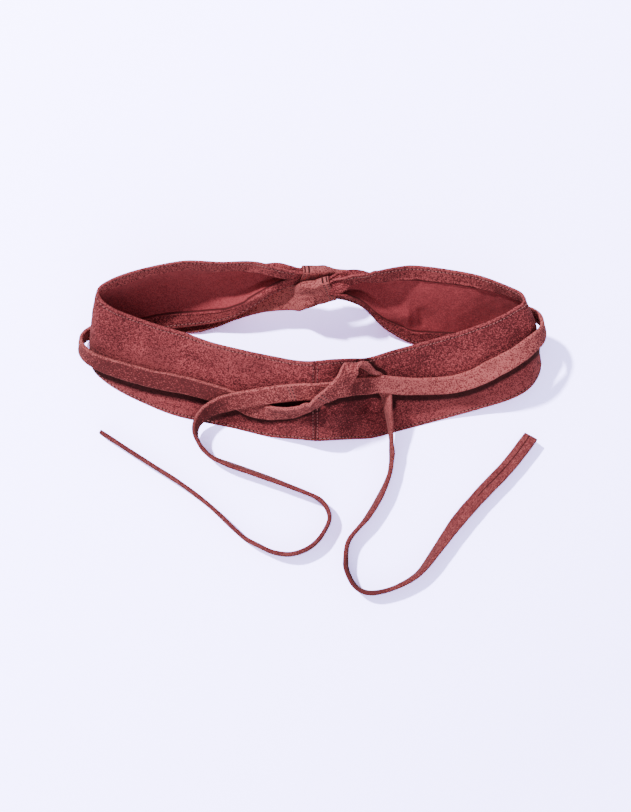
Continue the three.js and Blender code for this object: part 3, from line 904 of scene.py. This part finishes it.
class Run:
    """A strap's middle line and sections, as arrays along its length."""

    def __init__(self, stations):
        table = np.array(stations)
        span = np.linalg.norm(np.diff(table[:, :3], axis=0), axis=1)
        at = np.concatenate([[0], np.cumsum(span)])
        self.station_at = at
        low, high = np.maximum(np.arange(len(at)) - 1, 0), np.minimum(np.arange(len(at)) + 1, len(at) - 1)
        slope = (table[high, :3] - table[low, :3]) / (at[high] - at[low])[:, None]
        self.table, self.slope, self.span = table, slope, span

    def sections(self, at):
        """Hermite curve through the stations, with the width turned square to it.

        The point is p(2t^3 - 3t^2 + 1) + m L(t^3 - 2t^2 + t) + q(3t^2 - 2t^3) + n L(t^3 - t^2).
        """
        i = np.clip(np.searchsorted(self.station_at, at, side="right") - 1, 0, len(self.span) - 1)
        span = self.span[i][:, None]
        t = (at - self.station_at[i])[:, None] / span
        p, q = self.table[i, :3], self.table[i + 1, :3]
        m, n = self.slope[i], self.slope[i + 1]
        point = (
            p * (2 * t**3 - 3 * t**2 + 1)
            + m * span * (t**3 - 2 * t**2 + t)
            + q * (3 * t**2 - 2 * t**3)
            + n * span * (t**3 - t**2)
        )
        along = unit(
            p * (6 * t**2 - 6 * t) / span
            + m * (3 * t**2 - 4 * t + 1)
            + q * (6 * t - 6 * t**2) / span
            + n * (3 * t**2 - 2 * t)
        )
        rest = self.table[i, 3:] * (1 - t) + self.table[i + 1, 3:] * t
        width = rest[:, :3]
        width = unit(width - along * (width * along).sum(1, keepdims=True))
        return point, along, width, np.cross(along, width), rest[:, 3], rest[:, 4]


def strap_outline():
    """Once round a strap's section, as shares of its half width and half thickness: one flat face,
    a round edge, the other face and a round edge, as cosine and sine of half a turn."""
    bend = STRAP_THICK / STRAP_WIDE
    face = np.linspace(bend - 1, 1 - bend, FACE_POINTS)
    turn = np.linspace(-pi / 2, pi / 2, EDGE_POINTS + 2)[1:-1]
    across = np.concatenate([face, 1 - bend + bend * np.cos(turn), -face, bend - 1 - bend * np.cos(turn)])
    through = np.concatenate([
        np.full(FACE_POINTS, -1.0),
        np.sin(turn),
        np.full(FACE_POINTS, 1.0),
        -np.sin(turn),
    ])
    return across, through


def strap_mesh(name, run, start, end, slit_side, slit_from, sewn, pocket=None):
    """A strap between two lengths of its run, with a pocket of the given depth at its start.

    The point at a section is middle + width * across * wide/2 + depth * through * thick/2.
    The slit is on the side that slit_side gives, from the length slit_from on, and nowhere if the
    side is 0. The map counts from the cuff's mouth, and from JOINT_FROM on from the length called
    sewn, where the joint's rows begin.
    """
    at = np.linspace(start, end, int((end - start) / STRAP_STEP) + 1)
    across, through = strap_outline()
    point, _, width, depth, wide, thick = run.sections(at)
    stir = 0.10 * np.sin(at / 6.1 + 1) + 0.08 * np.sin(at / 2.7)
    half_wide = (wide / 2 + stir)[:, None] * across
    half_thick = (thick / 2)[:, None] * through
    mm_across = across * STRAP_WIDE / 2
    plain = (1 - smooth(4.2, 6, thick)) * smooth(slit_from, slit_from + SLIT_FADE, at)
    slit = np.where(through * slit_side > 0.99, np.exp(-((mm_across / SLIT_WIDE) ** 2)), 0)
    half_thick = half_thick - SLIT_DEEP * slit_side * plain[:, None] * slit
    pillow = 0.16 * np.sin(at[:, None] / 4.4 + 5 * across) * (1 - across**2)
    half_thick = half_thick + pillow * np.sign(through)
    ribs = smooth(3.4, 5.5, thick) * (1 - smooth(7.6, 8.1, thick))
    half_thick = half_thick * (1 + 0.10 * ribs[:, None] * np.cos(across * 11 + 0.6))
    rings = point[:, None] + width[:, None] * half_wide[..., None] + depth[:, None] * half_thick[..., None]
    smooth_face = (through * slit_side < 0.99) | (at[:, None] < slit_from)
    u = np.where(at < sewn / 2, at, at - sewn + JOINT_FROM)[:, None]
    place = np.stack(np.broadcast_arrays(u, mm_across + SMOOTH_FACE * smooth_face), -1)
    if pocket:
        inside = np.linspace(start, start + pocket, 14)
        point, _, width, depth, wide, thick = run.sections(inside)
        a = (wide / 2 - CUFF_WALL)[:, None] * across
        b = (thick / 2 - CUFF_WALL)[:, None] * through
        hollow = point[:, None] + width[:, None] * a[..., None] + depth[:, None] * b[..., None]
        rings = np.concatenate([hollow[::-1], rings])
        inner_place = np.stack(np.broadcast_arrays(inside[:, None], mm_across + SMOOTH_FACE), -1)
        place = np.concatenate([inner_place[::-1], place])
    rings = pressed(rings)
    rows, count = rings.shape[:2]
    faces = tube_faces(rows, count).tolist()
    first, last = 0, (rows - 1) * count
    for base, flip in ((first, True), (last, False)):
        for i in range(FACE_POINTS - 1):
            j = 2 * FACE_POINTS + EDGE_POINTS - 1 - i
            quad = [base + k for k in (i, i + 1, j - 1, j)]
            faces.append(quad[::-1] if flip else quad)
        one = [base + k for k in range(FACE_POINTS - 1, FACE_POINTS + EDGE_POINTS + 1)]
        other = [base + k % count for k in range(2 * FACE_POINTS + EDGE_POINTS - 1, count + 1)]
        faces += [one[::-1], other[::-1]] if flip else [one, other]
    return made_mesh(name, rings.reshape(-1, 3), faces, place.reshape(-1, 2))


def tie_edges(finish, base, u, v, pile, pale):
    """Edges paler from wear and from a painted highlight up to the free end, which is darker, a dark
    slit between the two folded-in edges down the back, and two sewn rows on a paler ground at the
    cuff's mouth and the joint."""
    smooth_face = v.between(SMOOTH_FACE / 2 - 0.1, SMOOTH_FACE / 2 + 0.1)
    side = (v - smooth_face * SMOOTH_FACE).maths("ABSOLUTE")
    hangs = u.between(*(JOINT_FROM + length for length in HANGS))
    # Edges paler: wear, and a painted highlight along the top edges.
    wear_and_highlight = side.between(6.2, 7.2) * hangs.between(0, 1, 0.75, 0.15)
    base = finish.mix(wear_and_highlight * pile.between(0.35, 0.55), base, (*pale, 1))
    base = finish.mix(hangs * 0.48, base, (*TIE_DEEP, 1))
    slit = side.between(0.3, 0.85, 1.0, 0.0) * (1 - smooth_face)
    base = finish.mix(slit * 0.92, base, SLIT_DARK)
    joint = u.between(JOINT_FROM / 2, JOINT_FROM / 2 + 1)
    from_end = (u - joint * JOINT_FROM - sum(SEWN_ROWS) / 2).maths("ABSOLUTE")
    row = (from_end - (SEWN_ROWS[1] - SEWN_ROWS[0]) / 2).maths("ABSOLUTE").between(0.4, 0.8, 1.0, 0.0)
    often = joint.between(0, 1, 2 / STITCH_PITCH, 1 / STITCH_PITCH)
    hole = stitch_holes(v * often, TIE_HOLE)
    base = finish.mix(from_end.between(2.4, 3.4, 0.35, 0.0), base, (*pale, 1))
    return finish.mix(row * (hole * 0.93 + 0.02), base, HOLE_DARK)


TIE_DEEP = (0.118, 0.021, 0.025)
TIE_MID = (0.272, 0.047, 0.052)
TIE_PALE = (0.540, 0.132, 0.132)
TIE_PAINTED_LIGHT = [
    # Painted shade on the ties at the left front and painted light on them at the right front, where the
    # nap looks darker and lighter to the camera.
    (-0.117, 0.046, 0.026, 0.045, 0.075, -0.085),
    (0.109, 0.036, 0.026, 0.050, 0.090, 0.065),
    # Painted light on the ties at the back, in the shadow of the band's gathers.
    (0.010, 0.108, 0.048, 0.010, 0.018, 0.050),
    (-0.026, 0.103, 0.030, 0.020, 0.036, 0.080),
    # Painted shadow of the knot's strand on the tie below it.
    (0.039, 0.032, 0.045, 0.007, 0.013, -0.080),
    # Painted shade on the bottom bend of the right tie, where it stands on edge on the floor.
    (0.027, -0.132, 0.008, 0.022, 0.044, -0.130),
]
tie_suede = suede("tie_suede", TIE_DEEP, TIE_MID, TIE_PALE, tie_edges, TIE_PAINTED_LIGHT, patch_scale=40)


def make_tie(name, cuff, inner, outer, slit_sides, slit_long, sewn_after):
    """A tie as two lengths, joined at a sewn seam: the one with the cuff, and its free end.

    Its slit shows over the last slit_long mm. The joint's rows of stitches begin at the length
    sewn_after past it. The run and the places of all rows are returned for the thread.
    """
    run = Run([*cuff, *inner, *outer])
    joint = run.station_at[len(cuff) + len(inner)]
    sewn = joint + sewn_after
    slit_from = run.station_at[-1] - slit_long
    pocket = run.station_at[len(cuff) - 1] + POCKET_ROOM
    body, tail = name + "_suede", name + "_end_suede"
    first = strap_mesh(body, run, 0, joint - JOINT_GAP, slit_sides[0], slit_from, sewn, pocket)
    second = strap_mesh(tail, run, joint, run.station_at[-1], slit_sides[1], slit_from, sewn)
    for piece, node in ((first, name), (second, name + "_end")):
        piece.data.materials.append(tie_suede)
        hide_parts(node)
        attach(piece, "root")
    return run, (*SEWN_ROWS, *(sewn + row for row in SEWN_ROWS))


left_run, left_rows = make_tie(
    "tie_left",
    on_band(LEFT_TIE_CUFF),
    [*free(LEFT_TIE_TAPER), *on_band(LEFT_TIE_ROUND)],
    [*on_band(LEFT_TIE_LOWER), *free(LEFT_TIE_FREE)],
    slit_sides=(1, 1),
    slit_long=WHOLE_TIE,
    sewn_after=-14.5,
)
right_run, right_rows = make_tie(
    "tie_right",
    on_band(RIGHT_TIE_CUFF),
    [*free(RIGHT_TIE_BACK), *on_band(RIGHT_TIE_ROUND)],
    [*on_band(RIGHT_TIE_KNOT), *free(RIGHT_TIE_FREE)],
    slit_sides=(0, 1),
    slit_long=64,
    sewn_after=0,
)


# Painted shade on the band outside, in the gaps under the ties, where they shade it. Its second map
# holds, in mm, how far a spot is from the lower edge of a tie above it, looked at as the camera does,
# and less the higher the tie is above it. Its other value is 1 on the bare flesh side, inside between the
# hems.
PAINTED_SHADE_ABOVE = 10
PAINTED_SHADE_UNDER = 16
PAINTED_SHADE_WIDER = (0.24, 0.014)
PAINTED_SHADE_MOST = 3.2
NO_PAINTED_SHADE = 99
BATCHES = 60


def lower_edge(run):
    """Points along the edge of a tie's part on the band that is nearer to the front of the picture."""
    at = np.arange(0, run.station_at[-1], 1.5)
    point, _, width, _, wide, _ = run.sections(at)
    edge = point - np.sign(width[:, 1:2]) * width * wide[:, None] / 2
    return edge[point[:, 2] > PAINTED_SHADE_ABOVE]


lines = np.concatenate([lower_edge(left_run), lower_edge(right_run)])
for band, half in ((band_left, left_half), (band_right, right_half)):
    spots = np.empty(len(band.data.vertices) * 3)
    band.data.vertices.foreach_get("co", spots)
    spots = spots.reshape(-1, 3) / MM - PLACE
    near = []
    for part in np.array_split(spots, BATCHES):
        way = lines[None] - part[:, None]
        above = way @ back
        aside = np.sqrt(np.maximum((way**2).sum(axis=2) - above**2, 0))
        wider = PAINTED_SHADE_WIDER[0] * above + PAINTED_SHADE_WIDER[1] * above**2
        aside = aside - np.minimum(wider, PAINTED_SHADE_MOST)
        under = (above > 0) & (above < PAINTED_SHADE_UNDER)
        near.append(np.where(under, aside, NO_PAINTED_SHADE).min(axis=1))
    near = np.where(half.inner, NO_PAINTED_SHADE, np.concatenate(near))
    add_map(band.data, "near", np.stack([near, half.flesh], -1))


# Thread: lockstitch in a matching tone, 3 mm to the stitch, sunk a little into the nap. It holds both
# hems, runs down each side of the front seam, and twice across each tie at its cuff's mouth and joint.
STITCH_LONG = 2.1
STITCH_THICK = 0.62
STITCH_SUNK = 0.08
STITCH_SIDES = 6
HEM_LEFT_BARE = (4, 16)
SEAM_LEFT_BARE = (4.5, 4)
WAY_STEP = 0.8
OUT_STEP = 0.3
THREAD_DEEP = (0.28, 0.070, 0.077, 1)
THREAD_PALE = (0.53, 0.175, 0.178, 1)


def stitch_mesh(name, points, along, normal):
    """Short rounded dashes: rings of six points whose radius is r sqrt(1 - x^6) along the dash."""
    spans = np.array([-1, -0.8, -0.3, 0.3, 0.8, 1])
    swell = np.sqrt(np.maximum(1 - spans**6, 0.02))
    angle = np.arange(STITCH_SIDES) * 2 * pi / STITCH_SIDES
    side = unit(np.cross(normal, along))
    lift = unit(np.cross(along, side))
    ring = (
        points[:, None, None]
        + along[:, None, None] * (spans * STITCH_LONG / 2)[None, :, None, None]
        + side[:, None, None] * (swell[:, None] * np.cos(angle) * STITCH_THICK / 2)[None, ..., None]
        + lift[:, None, None] * (swell[:, None] * np.sin(angle) * STITCH_THICK / 2)[None, ..., None]
    )
    count = len(spans) * STITCH_SIDES
    one = tube_faces(len(spans), STITCH_SIDES).tolist()
    one += [list(range(STITCH_SIDES))[::-1], list(range(count - STITCH_SIDES, count))]
    faces = [[k * count + i for i in face] for k in range(len(points)) for face in one]
    return made_mesh(name, ring.reshape(-1, 3), faces)


def stitch_row(half, lengths, s, offset, forward, upward):
    """Middles, ways and normals of a row on the band: the way goes to the point a step forward or
    upward, and the normal to the point a little further off the wall's middle."""
    here = half.points(lengths, s, offset)
    ahead = half.points(lengths + forward, s + upward, offset)
    off = half.points(lengths, s, offset + np.sign(offset) * OUT_STEP)
    return [a.reshape(-1, 3) for a in (here, unit(ahead - here), unit(off - here))]


def band_stitches(half):
    """The stitches of one half: along both hems, on both faces, and up its side of the seam."""
    found = []
    outside, inside = WALL / 2 - STITCH_SUNK, STITCH_SUNK - WALL / 2 - HEM_EXTRA
    lengths = np.arange(HEM_LEFT_BARE[0], half.lengths[-1] - HEM_LEFT_BARE[1], STITCH_PITCH)
    column = np.ones((len(lengths), 1))
    for s in (GROOVE_AT, BAND_WIDTH - GROOVE_AT):
        for face in (outside, inside):
            found.append(stitch_row(half, lengths, s * column, face * column, WAY_STEP, 0))
    up = np.arange(SEAM_LEFT_BARE[0], BAND_WIDTH - SEAM_LEFT_BARE[1], STITCH_PITCH)[None]
    found.append(stitch_row(half, np.array([SEAM_ROW]), up, np.full_like(up, outside), 0, WAY_STEP))
    return [np.concatenate(a) for a in zip(*found)]


def strap_stitches(run, places):
    """Stitches across a strap at given lengths along it, on both faces, closer on the wide cuff."""
    found = []
    for at in places:
        point, _, width, depth, wide, thick = (a[0] for a in run.sections(np.array([at])))
        pitch = STITCH_PITCH * (wide / STRAP_WIDE / 2 if wide > CUFF_WIDE - 1 else 1)
        count = int((wide - STRAP_THICK) / pitch / 2) * 2
        steps = (np.arange(count) - (count - 1) / 2)[:, None] * pitch
        for side in (-1, 1):
            middle = point + steps * width + side * depth * thick / 2
            found.append([middle, *(np.repeat(way[None], count, 0) for way in (width, side * depth))])
    return [np.concatenate(a) for a in zip(*found)]


thread = Finish("thread", Roughness=0.6)
spun = thread.noise(thread.node("ShaderNodeTexCoord", output="Object"), 1500, 1)
thread_look = thread.colour(thread.mix(spun.between(0.35, 0.65), THREAD_DEEP, THREAD_PALE))
for name, found, slot in (
    ("band_left_thread", band_stitches(left_half), "band_suede"),
    ("band_right_thread", band_stitches(right_half), "band_suede"),
    ("tie_left_thread", strap_stitches(left_run, left_rows), "tie_suede"),
    ("tie_right_thread", strap_stitches(right_run, right_rows), "tie_suede"),
):
    stitches = stitch_mesh(name, *found)
    stitches.data.materials.append(thread_look)
    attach(stitches, "root")
